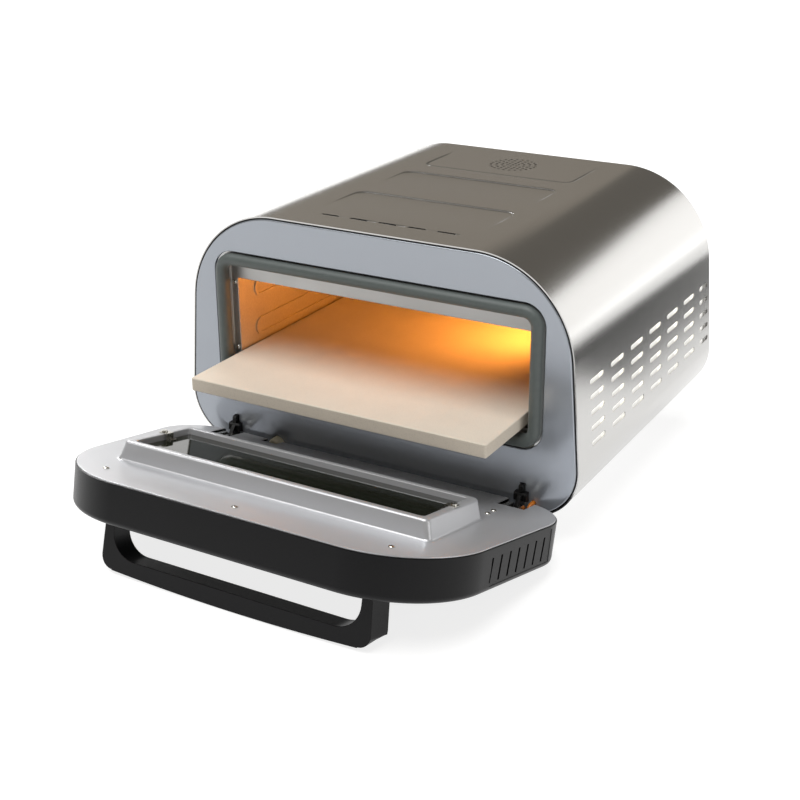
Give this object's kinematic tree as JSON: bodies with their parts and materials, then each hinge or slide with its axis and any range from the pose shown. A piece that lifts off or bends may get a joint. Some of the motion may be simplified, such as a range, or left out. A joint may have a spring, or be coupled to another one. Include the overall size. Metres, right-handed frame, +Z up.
{
  "type": "pizza_oven",
  "caption": "Electric countertop pizza maker with a rounded brushed-steel shell, a drop-down door with a window and black bar handle, and a stone slid part way out of its lit cavity.",
  "frame": {"origin": "on the table, under the middle of the whole part's width and depth with the door open", "axes": "+X to the right seen from the front, +Y to the back, +Z up; the door and the stone come out towards -Y"},
  "size_m": [0.4406, 0.6355, 0.2778],
  "materials": {
    "shell_steel": "satin brushed",
    "plain_steel": "mill finish",
    "cavity_steel": "aluminised sheet",
    "fascia_paint": "satin blue-grey",
    "liner_paint": "satin silver",
    "black_plastic": "fine satin",
    "ivory_plastic": "smooth",
    "seal_silicone": "matt",
    "foot_rubber": "matt",
    "bright_zinc": "bright zinc plated",
    "stone_ceramic": "matt fired",
    "element_sheath": "dark oxidised sheath",
    "dark_glass": "polished",
    "lamp_glass": "clear",
    "mineral_wool": "fibrous",
    "circuit_board": "solder mask",
    "black_steel": "black oxide",
    "sleeve_amber": "varnished glass sleeve"
  },
  "bodies": {
    "root": {"outer_shell": "shell_steel", "fascia": "fascia_paint", "fascia_trim": "black_plastic", "mouth_frame": "plain_steel", "mouth_screws": "bright_zinc", "door_gasket": "seal_silicone", "cavity_left_wall": "cavity_steel", "cavity_right_wall": "cavity_steel", "cavity_roof": "cavity_steel", "cavity_floor": "cavity_steel", "cavity_back": "cavity_steel", "stone_rail_left": "plain_steel", "stone_rail_right": "plain_steel", "upper_heater": "element_sheath", "lower_heater": "element_sheath", "heater_holders": "bright_zinc", "oven_lamp": "plain_steel", "lamp_lens": "lamp_glass", "temperature_probe": "bright_zinc", "thermal_cutout": "black_plastic", "vent_duct": "plain_steel", "insulation_left": "mineral_wool", "insulation_right": "mineral_wool", "insulation_top": "mineral_wool", "insulation_back": "mineral_wool", "insulation_bottom": "mineral_wool", "power_board": "circuit_board", "board_pillars": "bright_zinc", "terminal_block": "ivory_plastic", "bottom_plate": "plain_steel", "back_panel": "plain_steel", "back_screws": "bright_zinc", "bottom_screws": "bright_zinc", "cord_gland": "black_plastic", "feet": "foot_rubber", "foot_screws": "bright_zinc", "hinge_arm_left": "black_steel", "hinge_arm_right": "black_steel", "hinge_brackets": "plain_steel", "hinge_rivets": "bright_zinc", "hinge_pins": "bright_zinc", "door_lead": "sleeve_amber", "switch_housing": "black_plastic"},
    "door": {"door_cover": "black_plastic", "door_liner": "liner_paint", "liner_screws": "bright_zinc", "inner_glass": "dark_glass", "glass_seal": "foot_rubber", "glass_clips": "bright_zinc", "clip_screws": "bright_zinc", "window_tunnel": "black_steel", "outer_glass": "dark_glass", "handle": "black_plastic", "handle_screws": "bright_zinc", "control_strip": "dark_glass", "control_board": "circuit_board", "hinge_leaves": "bright_zinc", "hinge_screws": "bright_zinc"},
    "stone": {"pizza_stone": "stone_ceramic"},
    "plunger": {"door_switch_plunger": "ivory_plastic"}
  },
  "joints": [
    {"name": "door_hinge", "type": "hinge", "parent": "root", "child": "door", "pos_m": [0, -0.07506, 0.0357], "axis": [-1, 0, 0], "range_deg": [0, 77]},
    {"name": "stone_slide", "type": "slide", "parent": "root", "child": "stone", "axis": [0, 1, 0], "range_m": [0, 0.0921]},
    {"name": "door_switch_press", "type": "slide", "parent": "root", "child": "plunger", "axis": [0, 1, 0], "range_m": [0, 0.0024]}
  ],
  "couplings": [
    {"joint": "stone_slide", "follows": "door_hinge", "m_per_rad": 0.0685},
    {"joint": "door_switch_press", "follows": "door_hinge", "m_per_rad": 0.001785}
  ]
}
